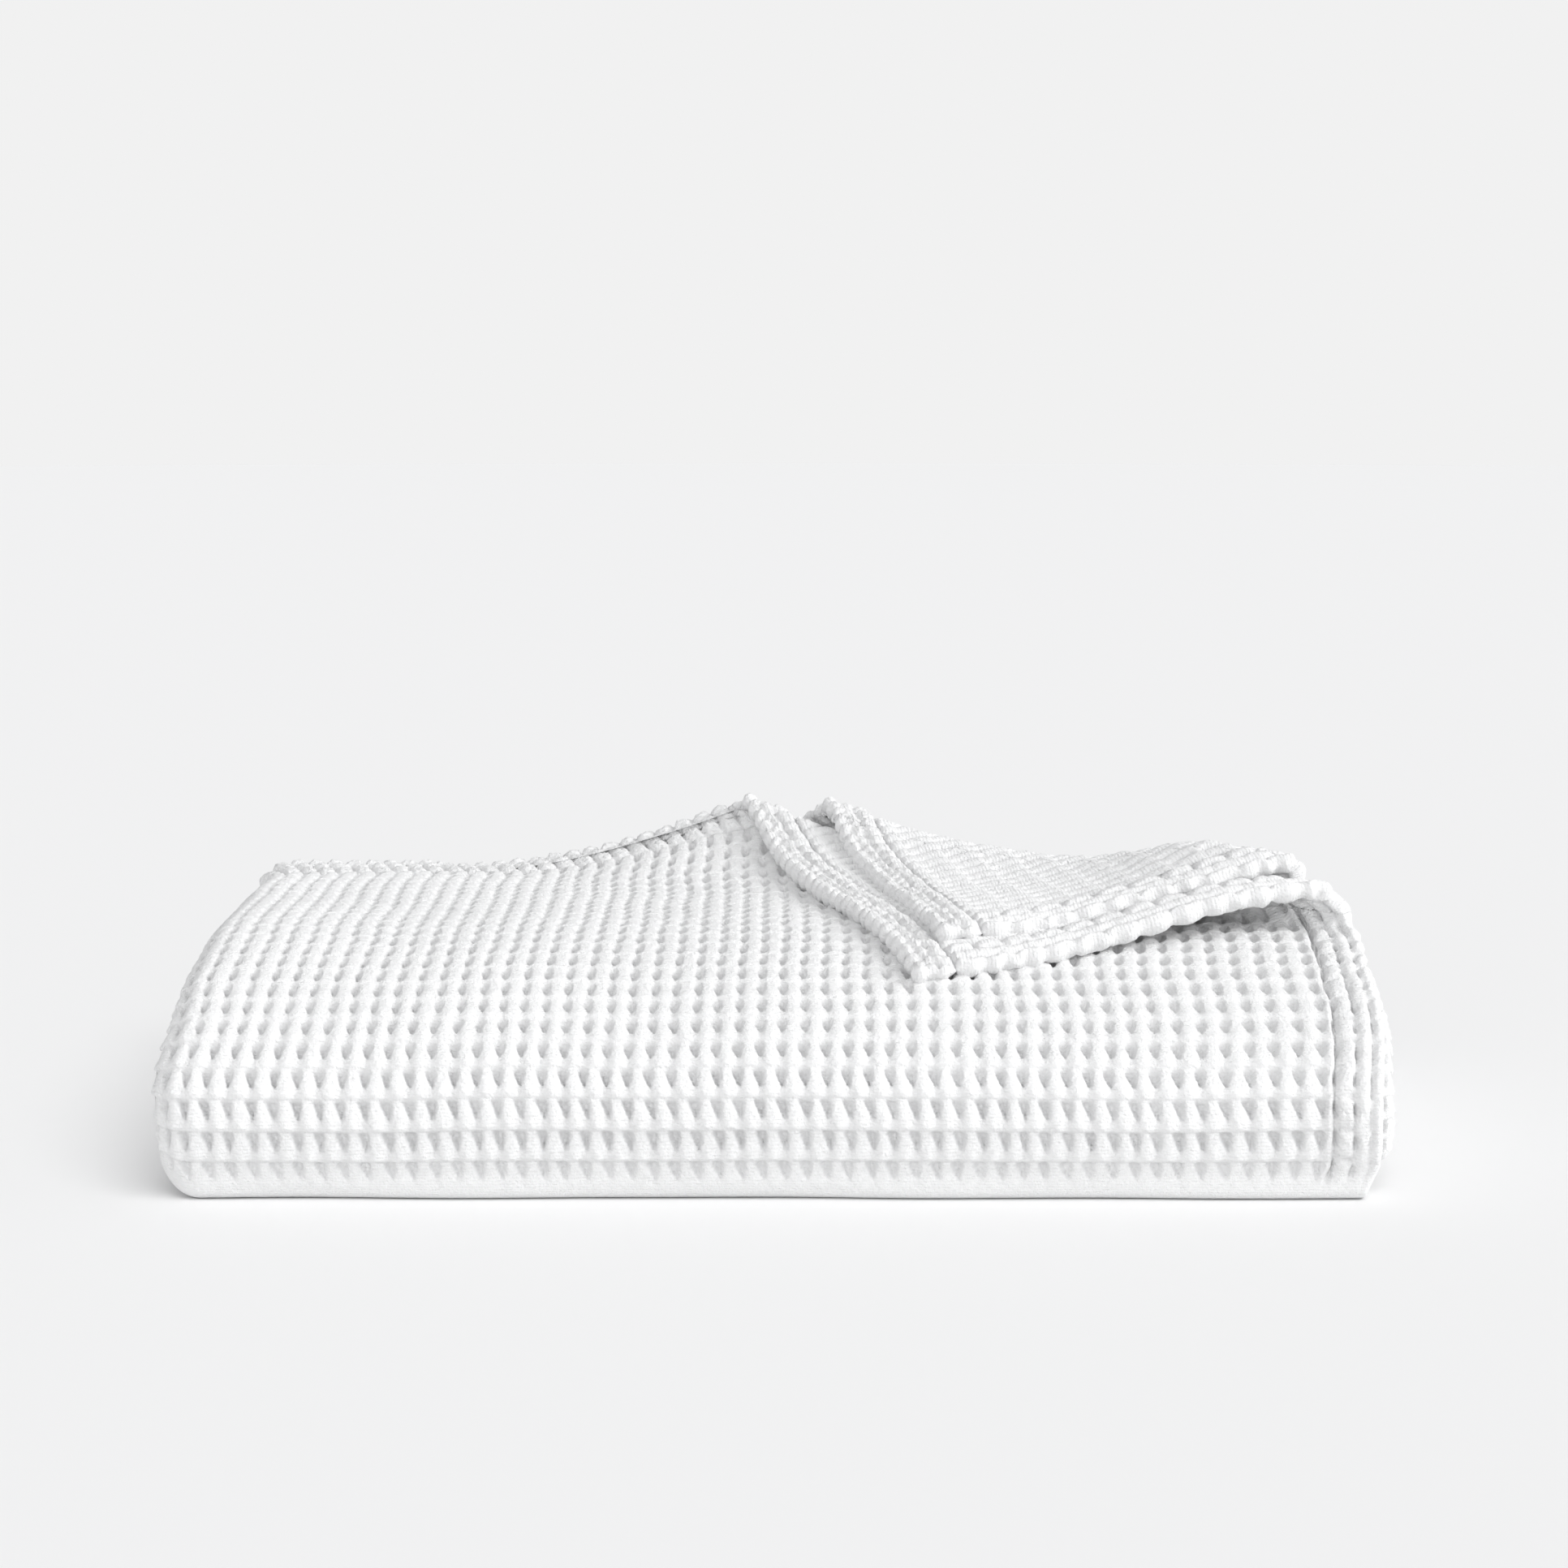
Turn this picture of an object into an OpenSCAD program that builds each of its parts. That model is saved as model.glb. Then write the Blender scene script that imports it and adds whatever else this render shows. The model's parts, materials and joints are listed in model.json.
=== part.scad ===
// Folded waffle-weave throw blanket.
// One cotton cloth is folded in half along its length, in three across its width
// and in three along its length again. The stack rests on its bottom panel, the last fold
// faces the front, and the back right corner of the two top plies is turned over.
// X runs left to right, Y front to back, Z up. The origin is under the middle of the stack.

/* [Stack] */
// Width of the folded stack
stack_w = 430; // [400:5:450]
// Depth of the folded stack
stack_d = 258; // [250:2:280]
// Thickness of one ply of waffle cloth
ply = 4.6; // [4.4:0.1:4.8]
// Radius of the rounded ends of the stack, at the top
end_r_top = 16; // [8:1:20]
// Radius of the rounded ends of the stack, at the bottom
end_r_low = 9; // [4:1:12]

/* [Front fold] */
// Length of the shoulder that rounds down to the front
shoulder_l = 128; // [120:2:136]
// Height of the point of the front that stands furthest out
belly_h = 31; // [30:0.5:33]
// Length of the curve that turns under the front
toe_l = 16; // [10:1:20]
// Distance from the front to the line that the top fold opens about
hinge_d = 40; // [38:1:44]

/* [Hems] */
// Width of a turned and stitched hem
hem_w = 16; // [12:1:18]
// Distance from the right end of the stack in to the side hem's edge
hem_inset = 6; // [5:1:10]
// Thickness of the stitching thread as it lies on the hem
thread_t = 0.9; // [0.6:0.1:1.2]

/* [Turned-back corner] */
// Where the lower ply's ridge meets the side hem, measured from the front
low_ridge_side_d = 93; // [90:1:96]
// Where the lower ply's ridge meets the back edge, measured from the middle
low_ridge_back_x = -17; // [-19:1:-15]
// Height of the middle of the lower ply at its ridge
low_ridge_z = 102.5; // [102:0.5:103]
// Height of the middle of the lower ply at its corner
low_tip_z = 77.6; // [77.5:0.1:77.8]
// Where the upper ply's ridge meets the side hem, measured from the front
up_ridge_side_d = 104; // [102:1:106]
// Where the upper ply's ridge meets the back edge, measured from the middle
up_ridge_back_x = 16; // [15:1:18]
// Height of the middle of the upper ply at its ridge
up_ridge_z = 111.2; // [111:0.1:112]
// Height of the middle of the upper ply at its corner
up_tip_z = 87.4; // [87.4:0.1:88]

/* [Hidden] */

cloth = [0.95, 0.95, 0.94];
hem_cloth = [0.91, 0.91, 0.90];
thread = [0.84, 0.84, 0.83];

layer = 2 * ply;
third = 3 * layer;
stack_h = 3 * third;
// Clearance between plies of one body, and between two bodies
slip = 0.2;
free = 0.5;
half_w = stack_w / 2;
half_d = stack_d / 2;
far = 3 * stack_w;
hem_edge = half_w - hem_inset;
hem_line = hem_edge - hem_w;
back_fold_d = stack_d - third;
arc_steps = 24;
stitch_off = 1.5;
stitch_w = 1.4;
loop_tongue = 1.2;
// Height above the belly at which the stitching starts to show on the front
stitch_rise = 10;

// Side outline of the stack seen from the right, drawn inset from the outside of the cloth:
// x is the distance from the front and y the height.
function arc_points(cx, cy, rx, ry, a0, a1) =
    [for (i = [0:arc_steps]) let (a = a0 + (a1 - a0) * i / arc_steps)
        [cx + rx * cos(a), cy + ry * sin(a)]];

function shoulder(inset) =
    arc_points(shoulder_l, belly_h, shoulder_l - inset, stack_h - belly_h - inset, 90, 180);

function toe(inset) = let (rx = max(toe_l - inset, 2))
    arc_points(inset + rx, belly_h, rx, belly_h - inset, 180, 270);

module side_outline(inset) {
    polygon(concat([[far, stack_h - inset]], shoulder(inset), toe(inset), [[far, inset]]));
}

module wrap(from_inset, to_inset) {
    difference() {
        side_outline(from_inset);
        side_outline(to_inset);
    }
}

// A part of the side plane, between two distances from the front and two heights
module window(d0, d1, z0, z1) {
    translate([d0, z0]) square([d1 - d0, z1 - z0]);
}

// Turns a drawing of the side plane into a solid that runs along X
module along_x(x0, x1) {
    translate([x0, -half_d, 0])
        rotate([90, 0, 90])
            linear_extrude(x1 - x0) children();
}

// The rounded outline of the stack's two ends, run through its whole depth
module end_rounding() {
    rotate([90, 0, 0])
        linear_extrude(far, center = true)
            hull() {
                for (s = [-1, 1]) {
                    translate([s * (half_w - end_r_top), stack_h - end_r_top])
                        circle(end_r_top, $fn = 48);
                    translate([s * (half_w - end_r_low), end_r_low])
                        circle(end_r_low, $fn = 48);
                }
            }
}

module rounded_panel(x0, x1) {
    intersection() {
        along_x(x0, x1) children();
        end_rounding();
    }
}

// Three nested layers run under the stack, round the front and over the top
module bottom_layer(n, x0, x1) {
    rounded_panel(x0, x1)
        intersection() {
            wrap(n * layer, (n + 1) * layer - slip);
            window(hinge_d, back_fold_d, 0, stack_h / 2);
        }
}

module front_layer(n, x0, x1) {
    rounded_panel(x0, x1)
        intersection() {
            wrap(n * layer, (n + 1) * layer - slip);
            window(-1, hinge_d - slip, 0, stack_h);
        }
}

module top_slice(from_inset, to_inset, d1, x0, x1) {
    rounded_panel(x0, x1)
        intersection() {
            wrap(from_inset, to_inset);
            window(hinge_d + free, d1, stack_h / 2, stack_h);
        }
}

// The middle third lies inside the wrap and ends in front where the wrap closes down on it
module middle_layer(n) {
    rounded_panel(-half_w + ply, half_w - ply)
        intersection() {
            side_outline(third + free);
            window(third + 2, back_fold_d, third + n * layer, third + (n + 1) * layer - slip);
        }
}

// Half a turn at the back joins the bottom third to the middle third
module back_ring(r_out, r_in) {
    rounded_panel(-half_w, half_w)
        intersection() {
            translate([back_fold_d, third])
                difference() {
                    circle(r_out, $fn = 96);
                    circle(r_in, $fn = 96);
                }
            window(back_fold_d + slip, stack_d, 0, 2 * third - free);
        }
}

// Ridge lines of the turned-back corner, in plan, each from the side hem to the back edge
low_side = [hem_edge, low_ridge_side_d - half_d];
low_back = [low_ridge_back_x, half_d];
up_side = [hem_edge, up_ridge_side_d - half_d];
up_back = [up_ridge_back_x, half_d];
corner = [hem_edge, half_d];

function unit(v) = v / norm(v);
function left_of(v) = [-v[1], v[0]];
// Distance of a point from a ridge line, positive on the side where the corner now lies
function ridge_dist(p, side, back) = (p - side) * left_of(unit(back - side));
// The corner mirrored in the ridge line
function turned_corner(side, back) =
    corner - 2 * ridge_dist(corner, side, back) * left_of(unit(back - side));
function ridge_angle(side, back) = atan2(back[1] - side[1], back[0] - side[0]);

// Plan of the top plies that is left when the corner beyond the ridge is turned away
module plan_left(side, back, start = slip) {
    a = ridge_angle(side, back);
    translate([side[0], side[1], 0])
        rotate([0, 0, a])
            translate([-far / 2, start, -far / 2]) cube([far, far, far]);
}

// The triangle that is turned over, laid out flat with its ridge on the x axis, and with
// a short tongue past the ridge where it has to grow out of the loop
module turned_outline(side, back, tongue = 0) {
    len = norm(back - side);
    polygon([[0, 0], [tongue, -tongue], [len - tongue, -tongue], [len, 0], turned_tip(side, back)]);
}

// Puts a flat drawing of a turned ply where the ply lies, sloping from ridge to corner
module lay_turned(side, back, ridge_z, tip_z) {
    tilt = atan2(tip_z - ridge_z, turned_tip(side, back)[1]);
    translate([side[0], side[1], ridge_z])
        rotate([0, 0, ridge_angle(side, back)])
            rotate([tilt, 0, 0]) children();
}

// The turned corner in the flat drawing's own axes: along the ridge, and away from it
function turned_tip(side, back) =
    let (tip = turned_corner(side, back))
        [(tip - side) * unit(back - side), ridge_dist(tip, side, back)];

// Strips of the turned triangle along its two free edges, measured in from the edge
module side_strip(side, back, w) {
    tip = turned_tip(side, back);
    rotate(atan2(tip[1], tip[0]))
        translate([-far / 2, -w]) square([far, w + 1]);
}

module end_strip(side, back, w) {
    tip = turned_tip(side, back);
    len = norm(back - side);
    translate([len, 0])
        rotate(atan2(tip[1], tip[0] - len))
            translate([-far / 2, -1]) square([far, w + 1]);
}

module turned_slab(side, back, ridge_z, tip_z) {
    start = slip + free;
    lay_turned(side, back, ridge_z, tip_z)
        translate([0, 0, -(ply - slip) / 2])
            linear_extrude(ply - slip)
                intersection() {
                    children();
                    turned_outline(side, back);
                    translate([-far / 2, start]) square([far, far]);
                }
}

module turned_ply(side, back, ridge_z, tip_z) {
    turned_slab(side, back, ridge_z, tip_z)
        difference() {
            translate([-far / 2, 0]) square([far, far]);
            side_strip(side, back, hem_w);
            end_strip(side, back, hem_w);
        }
}

module turned_end_hem(side, back, ridge_z, tip_z) {
    turned_slab(side, back, ridge_z, tip_z) end_strip(side, back, hem_w - slip);
}

module turned_side_hem(side, back, ridge_z, tip_z) {
    turned_slab(side, back, ridge_z, tip_z)
        difference() {
            side_strip(side, back, hem_w - slip);
            end_strip(side, back, hem_w);
        }
}

// Thread along the inner edge of both hems, on the face that looks up
module turned_stitching(side, back, ridge_z, tip_z) {
    outer = hem_w - stitch_off;
    lay_turned(side, back, ridge_z, tip_z)
        translate([0, 0, (ply - slip) / 2])
            linear_extrude(thread_t)
                intersection() {
                    union() {
                        difference() {
                            side_strip(side, back, outer);
                            side_strip(side, back, outer - stitch_w);
                            end_strip(side, back, outer);
                        }
                        difference() {
                            end_strip(side, back, outer);
                            end_strip(side, back, outer - stitch_w);
                            side_strip(side, back, outer - stitch_w);
                        }
                    }
                    turned_outline(side, back);
                    translate([-far / 2, hem_w]) square([far, far]);
                }
}

// The upper corner bends over the lower ridge, so that its flap starts beyond that line
module upper_flap() {
    intersection() {
        children();
        plan_left(low_side, low_back, slip + free);
    }
}

// What lies between the upper ridge and the lower one moves with the upper loop
module upper_strip() {
    difference() {
        lay_turned(up_side, up_back, up_ridge_z, up_tip_z)
            translate([0, 0, -(ply - slip) / 2])
                linear_extrude(ply - slip) turned_outline(up_side, up_back, loop_tongue);
        plan_left(low_side, low_back, 0);
    }
}

// The loop of cloth at a ridge: half a tube, open towards the turned corner
module ridge_loop(side, back, ridge_z, low_z) {
    mid_z = (ridge_z + low_z) / 2;
    r = (ridge_z - low_z) / 2;
    w = (ply - slip) / 2;
    intersection() {
        translate([side[0], side[1], mid_z])
            rotate([0, 0, ridge_angle(side, back)])
                rotate([90, 0, 90])
                    translate([0, 0, -half_w])
                        linear_extrude(stack_w * 2)
                            difference() {
                                circle(r + w, $fn = 64);
                                circle(r - w, $fn = 64);
                                translate([0, -far / 2]) square([far, far]);
                            }
        translate([-half_w, -half_d, 0])
            cube([half_w + hem_edge, stack_d, far]);
    }
}

module bottom_outer_panel() {
    color(cloth) bottom_layer(0, -half_w, hem_line - slip);
}

module bottom_middle_panel() {
    color(cloth) bottom_layer(1, -half_w, half_w);
}

module bottom_inner_panel() {
    color(cloth) bottom_layer(2, -half_w, half_w);
}

module bottom_side_hem() {
    color(hem_cloth) bottom_layer(0, hem_line, hem_edge);
}

module middle_lower_panel() {
    color(cloth) middle_layer(0);
}

module middle_centre_panel() {
    color(cloth) middle_layer(1);
}

module middle_upper_panel() {
    color(cloth) middle_layer(2);
}

module back_fold_outer() {
    color(cloth) back_ring(third, 2 * layer + slip);
}

module back_fold_middle() {
    color(cloth) back_ring(2 * layer, layer + slip);
}

module back_fold_inner() {
    color(cloth) back_ring(layer, slip);
}

module front_fold_outer() {
    color(cloth) front_layer(0, -half_w, hem_line - slip);
}

module front_fold_middle() {
    color(cloth) front_layer(1, -half_w, half_w);
}

module front_fold_inner() {
    color(cloth) front_layer(2, -half_w, half_w);
}

module front_side_hem() {
    color(hem_cloth) front_layer(0, hem_line, hem_edge);
}

// Thread that stands on the hem's outside, from where the front leans back
module front_hem_stitching() {
    color(thread)
        along_x(hem_line + stitch_off, hem_line + stitch_off + stitch_w)
            intersection() {
                wrap(-thread_t, 0);
                window(0, hinge_d - slip, belly_h + stitch_rise, stack_h);
            }
}

module top_cover_ply() {
    color(cloth)
        intersection() {
            top_slice(0, ply - slip, stack_d - hem_w - slip, -half_w, hem_line - slip);
            plan_left(low_side, low_back);
        }
}

module top_under_ply() {
    color(cloth)
        intersection() {
            top_slice(ply, layer - slip, stack_d - hem_w - slip, -half_w, hem_line - slip);
            plan_left(up_side, up_back);
        }
}

module top_middle_panel() {
    color(cloth) top_slice(layer, 2 * layer - slip, stack_d - hem_w - slip, -half_w, half_w);
}

module top_inner_panel() {
    color(cloth) top_slice(2 * layer, third, stack_d - hem_w - slip, -half_w, half_w);
}

module top_side_hem() {
    color(hem_cloth)
        intersection() {
            top_slice(0, ply - slip, stack_d, hem_line, hem_edge);
            plan_left(low_side, low_back);
        }
}

module top_hem_stitching() {
    color(thread)
        intersection() {
            along_x(hem_line + stitch_off, hem_line + stitch_off + stitch_w)
                intersection() {
                    wrap(-thread_t, 0);
                    window(hinge_d + free, stack_d / 2, belly_h, far);
                }
            plan_left(low_side, low_back);
        }
}

module end_hem(from_inset, to_inset, x1) {
    intersection() {
        top_slice(from_inset, to_inset, stack_d, -half_w, x1);
        translate([-far / 2, half_d - hem_w, 0]) cube([far, hem_w, far]);
    }
}

module top_cover_end_hem() {
    color(hem_cloth)
        intersection() {
            end_hem(0, ply - slip, hem_edge);
            plan_left(low_side, low_back);
        }
}

module top_under_end_hem() {
    color(hem_cloth)
        intersection() {
            end_hem(ply, layer - slip, hem_edge);
            plan_left(up_side, up_back);
        }
}

module top_middle_end_hem() {
    color(hem_cloth) end_hem(layer, 2 * layer - slip, half_w);
}

module top_inner_end_hem() {
    color(hem_cloth) end_hem(2 * layer, third, half_w);
}

module corner_ridge_lower() {
    color(cloth) ridge_loop(low_side, low_back, low_ridge_z, stack_h - ply / 2);
}

module corner_ridge_upper() {
    color(cloth)
        union() {
            ridge_loop(up_side, up_back, up_ridge_z, stack_h - 1.5 * ply);
            upper_strip();
        }
}

module corner_lower_ply() {
    color(cloth) turned_ply(low_side, low_back, low_ridge_z, low_tip_z);
}

module corner_lower_end_hem() {
    color(hem_cloth) turned_end_hem(low_side, low_back, low_ridge_z, low_tip_z);
}

module corner_lower_side_hem() {
    color(hem_cloth) turned_side_hem(low_side, low_back, low_ridge_z, low_tip_z);
}

module corner_lower_stitching() {
    color(thread) turned_stitching(low_side, low_back, low_ridge_z, low_tip_z);
}

module corner_upper_ply() {
    color(cloth)
        upper_flap() turned_ply(up_side, up_back, up_ridge_z, up_tip_z);
}

module corner_upper_end_hem() {
    color(hem_cloth)
        upper_flap() turned_end_hem(up_side, up_back, up_ridge_z, up_tip_z);
}

module corner_upper_side_hem() {
    color(hem_cloth)
        upper_flap() turned_side_hem(up_side, up_back, up_ridge_z, up_tip_z);
}

module corner_upper_stitching() {
    color(thread)
        upper_flap() turned_stitching(up_side, up_back, up_ridge_z, up_tip_z);
}

bottom_outer_panel();
bottom_middle_panel();
bottom_inner_panel();
bottom_side_hem();
middle_lower_panel();
middle_centre_panel();
middle_upper_panel();
back_fold_outer();
back_fold_middle();
back_fold_inner();
front_fold_outer();
front_fold_middle();
front_fold_inner();
front_side_hem();
front_hem_stitching();
top_cover_ply();
top_under_ply();
top_middle_panel();
top_inner_panel();
top_side_hem();
top_hem_stitching();
top_cover_end_hem();
top_under_end_hem();
top_middle_end_hem();
top_inner_end_hem();
corner_ridge_lower();
corner_ridge_upper();
corner_lower_ply();
corner_lower_end_hem();
corner_lower_side_hem();
corner_lower_stitching();
corner_upper_ply();
corner_upper_end_hem();
corner_upper_side_hem();
corner_upper_stitching();
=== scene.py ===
# The folded waffle throw: real weave relief on swept and folded cloth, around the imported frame.
import json
import math

import bpy
import numpy as np
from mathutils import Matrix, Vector

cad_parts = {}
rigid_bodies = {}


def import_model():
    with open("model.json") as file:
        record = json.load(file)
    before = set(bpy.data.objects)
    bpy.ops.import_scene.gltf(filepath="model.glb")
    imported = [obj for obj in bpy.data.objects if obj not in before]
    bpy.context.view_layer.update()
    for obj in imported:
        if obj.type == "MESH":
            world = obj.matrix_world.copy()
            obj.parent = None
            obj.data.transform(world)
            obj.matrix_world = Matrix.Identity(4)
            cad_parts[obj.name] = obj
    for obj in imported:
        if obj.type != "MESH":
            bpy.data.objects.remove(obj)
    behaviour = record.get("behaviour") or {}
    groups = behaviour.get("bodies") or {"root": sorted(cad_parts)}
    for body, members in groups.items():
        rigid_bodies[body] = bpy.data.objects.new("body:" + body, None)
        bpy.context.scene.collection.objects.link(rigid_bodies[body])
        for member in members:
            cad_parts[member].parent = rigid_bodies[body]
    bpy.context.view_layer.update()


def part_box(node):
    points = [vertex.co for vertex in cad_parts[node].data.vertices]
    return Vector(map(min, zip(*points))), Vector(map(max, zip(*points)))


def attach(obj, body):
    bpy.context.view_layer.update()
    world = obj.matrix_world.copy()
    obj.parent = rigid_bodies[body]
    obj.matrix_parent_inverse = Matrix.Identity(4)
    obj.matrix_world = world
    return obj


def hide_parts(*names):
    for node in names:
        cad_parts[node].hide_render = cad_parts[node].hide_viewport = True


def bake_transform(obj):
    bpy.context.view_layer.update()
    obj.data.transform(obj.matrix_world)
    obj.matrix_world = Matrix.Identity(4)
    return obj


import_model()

MM = 0.001

# Sizes of the frame, in metres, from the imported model
HALF_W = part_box("bottom_middle_panel")[1][0]
HALF_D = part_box("top_middle_end_hem")[1][1]
STACK_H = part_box("top_cover_ply")[1][2]
HEM_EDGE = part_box("top_side_hem")[1][0]
THIRD = STACK_H / 3
LAYER = THIRD / 3
PLY = LAYER / 2
DEPTH = 2 * HALF_D
# The front's outline: a toe of TOE_L by BELLY_H, and a shoulder of SHOULDER_L up to the top.
# The strip's inside is TOE_SHIFT further back in the toe, and its toe is TOE_SHRINK shorter.
BELLY_H = 31 * MM
TOE_L = 16 * MM
SHOULDER_L = 128 * MM
TOE_SHIFT = 13.6 * MM
TOE_SHRINK = 14 * MM
BACK_D = DEPTH - THIRD

# The weave: pitch of its columns and rows, and where a pit of each lies
COL = 7.65 * MM
ROW = 11.63 * MM
COL_AT = 3.4 * MM
ROW_AT = 17.3 * MM
PIT = 3.3 * MM

# The hems: the side hem's stitch line, the end hem's width, and the radius of a free edge
HEM_LINE = HEM_EDGE - 17 * MM
HEM_W = 16 * MM
EDGE_R = 2.2 * MM
HEM_BACK = HEM_EDGE - 9 * MM
THREAD_R = 0.42 * MM


# ---------------------------------------------------------------- small helpers

def smooth(x, a, b):
    t = np.clip((x - a) / (b - a), 0, 1)
    return t * t * (3 - 2 * t)


def cell_random(i, j, seed):
    """A number from -1 to 1 for each weave cell, the same on every run."""
    k = (i.astype(np.int64) * 73856093) ^ (j.astype(np.int64) * 19349663) ^ (seed * 83492791)
    k = (k ^ (k >> 13)) * 1274126177
    return ((k ^ (k >> 16)) & 0xFFFF) / 32767.5 - 1


def noise(x, y, seed):
    """Smooth noise from -1 to 1 with a feature size of 1."""
    i, j = np.floor(x), np.floor(y)
    a, b = x - i, y - j
    a, b = a * a * (3 - 2 * a), b * b * (3 - 2 * b)
    n00, n10 = cell_random(i, j, seed), cell_random(i + 1, j, seed)
    n01, n11 = cell_random(i, j + 1, seed), cell_random(i + 1, j + 1, seed)
    return (n00 * (1 - a) + n10 * a) * (1 - b) + (n01 * (1 - a) + n11 * a) * b


def grid_normals(p):
    along = np.gradient(p, axis=0)
    across = np.gradient(p, axis=1)
    n = np.cross(along, across)
    return n / np.maximum(np.linalg.norm(n, axis=2, keepdims=True), 1e-12)


# Waves of the stack: axis moved, height, then two axes it varies along and the size on each, seed
WAVES = ((0, 1.0, 1, 38, 2, 23, 203), (1, 1.3, 0, 61, 2, 34, 201), (2, 0.8, 0, 47, 1, 52, 202))


def settle(p):
    """The soft lie of the stack: it bulges at its right, spreads at its foot and waves a little."""
    x, y, z = p.T
    out = np.array(p, float)
    d = y + HALF_D
    swell = 4 * MM * smooth(z, 0, 14 * MM) + 4.5 * MM * smooth(z, 26 * MM, 66 * MM)
    out[:, 0] += swell * smooth(x, 120 * MM, HEM_EDGE) * (1 - 0.6 * smooth(d, 80 * MM, 190 * MM))
    low = smooth(z, 0, 14 * MM) * (1 - smooth(z, 34 * MM, 66 * MM))
    out[:, 0] -= 2.6 * MM * smooth(-x, 100 * MM, HALF_W) * low
    toe = (1 - smooth(d, 18 * MM, 34 * MM)) * (1 - smooth(z, 0, 11 * MM))
    out[:, 1] -= (4.6 + 1.5 * noise(x / (55 * MM), 0 * x, 204)) * MM * toe
    free = smooth(z, 3 * MM, 24 * MM)
    for axis, height, a, size_a, b, size_b, seed in WAVES:
        out[:, axis] += height * MM * noise(p[:, a] / (size_a * MM), p[:, b] / (size_b * MM), seed) * free
    return out


def mesh_object(name, verts, quads, weave, flat_faces=0):
    """Makes the piece; its last flat_faces faces are inner walls, which no smooth face shades into."""
    verts = settle(verts)
    me = bpy.data.meshes.new(name)
    me.vertices.add(len(verts))
    me.vertices.foreach_set("co", verts.astype(np.float32).ravel())
    me.loops.add(4 * len(quads))
    me.loops.foreach_set("vertex_index", quads.astype(np.int32).ravel())
    me.polygons.add(len(quads))
    me.polygons.foreach_set("loop_start", np.arange(0, 4 * len(quads), 4, dtype=np.int32))
    me.update(calc_edges=True)
    me.validate()
    me.polygons.foreach_set("use_smooth", np.arange(len(me.polygons)) < len(me.polygons) - flat_faces)
    at = me.attributes.new("weave", "FLOAT_VECTOR", "POINT")
    at.data.foreach_set("vector", weave.astype(np.float32).ravel())
    ob = bpy.data.objects.new(name, me)
    bpy.context.scene.collection.objects.link(ob)
    return ob


def faces_of(mask, index):
    """Quads of the grid cells in mask; index numbers the grid's points."""
    j, i = np.nonzero(mask)
    return np.stack([index[j, i], index[j + 1, i], index[j + 1, i + 1], index[j, i + 1]], 1)


def rim_of(mask):
    """Directed border edges of the cells in mask, as pairs of grid points (j, i)."""
    m = np.pad(mask, 1)
    out = []
    low = m[1:-1, 1:-1] & ~m[:-2, 1:-1]
    high = m[1:-1, 1:-1] & ~m[2:, 1:-1]
    left = m[1:-1, 1:-1] & ~m[1:-1, :-2]
    right = m[1:-1, 1:-1] & ~m[1:-1, 2:]
    for cells, a, b in ((low, (0, 1), (0, 0)), (high, (1, 0), (1, 1)),
                        (left, (0, 0), (1, 0)), (right, (1, 1), (0, 1))):
        j, i = np.nonzero(cells)
        out.append(np.stack([j + a[0], i + a[1], j + b[0], i + b[1]], 1))
    return np.concatenate(out)


# The flat size of each piece, and what turns the span of its weave into the size that it is cut.
FLAT = {}
CUT = 1.07  # the cut of a stretch of waffle to what it spans when it is washed
TURNED = 1.5  # a hem's cut to its width when it is turned and sewn
SLANTED = 0.32  # the least share of its flat box that a slanted piece is let cover
NARROWEST = 12 * MM
SHORT_WAY = 0.65  # about the inmost ply's way round the front fold to the outside ply's


def compact(name, points, quads, weave, flat_faces=0):
    """Builds the mesh from the points in use, and notes the flat size that its weave spans."""
    a, b, c, d = (weave[quads[:, k], :2] * MM for k in range(4))
    cell = 0.5 * np.abs((c - a)[:, 0] * (d - b)[:, 1] - (c - a)[:, 1] * (d - b)[:, 0])
    same = np.all(weave[quads[:, 0], 2:] == weave[quads[:, 2], 2:], axis=1)
    layers = 2 if weave[:, 2].max() > 0 else 1
    span = np.ptp(weave[np.unique(quads), :2] * MM, axis=0)
    FLAT[name] = (float(span[0]), float(span[1]), float(cell[same].sum() / layers))
    used = np.unique(quads)
    new = np.full(len(points), -1)
    new[used] = np.arange(len(used))
    return mesh_object(name, points[used], new[quads], weave[used], flat_faces)


def skin(name, p, u, v, mask=None):
    """One face of the cloth: p is the grid of its points, u and v its place in the weave."""
    ny, nx = p.shape[:2]
    if mask is None:
        mask = np.ones((ny - 1, nx - 1), bool)
    index = np.arange(ny * nx).reshape(ny, nx)
    weave = np.stack([u, v, np.zeros_like(u)], 2).reshape(-1, 3)
    return compact(name, p.reshape(-1, 3), faces_of(mask, index), weave)


def slab(name, top, under, u, v, mask):
    """A ply with both faces, closed all round the border of mask."""
    ny, nx = top.shape[:2]
    index = np.arange(ny * nx).reshape(ny, nx)
    count = ny * nx
    quads = [faces_of(mask, index), faces_of(mask, index)[:, ::-1] + count]
    rim = rim_of(mask)
    edge = ((rim[:, 1] == 0) & (rim[:, 3] == 0)) | ((rim[:, 0] == ny - 1) & (rim[:, 2] == ny - 1))
    rim = np.concatenate([rim[edge], rim[~edge]])
    a, b = index[rim[:, 0], rim[:, 1]], index[rim[:, 2], rim[:, 3]]
    quads.append(np.stack([b, a, a + count, b + count], 1))
    weave = np.stack([u, v, np.zeros_like(u)], 2).reshape(-1, 3)
    points = np.concatenate([top.reshape(-1, 3), under.reshape(-1, 3)])
    weave = np.concatenate([weave, weave + [0, 0, 1]])
    return compact(name, points, np.concatenate(quads), weave, int((~edge).sum()))


# ---------------------------------------------------------------- the folded strip

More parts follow.
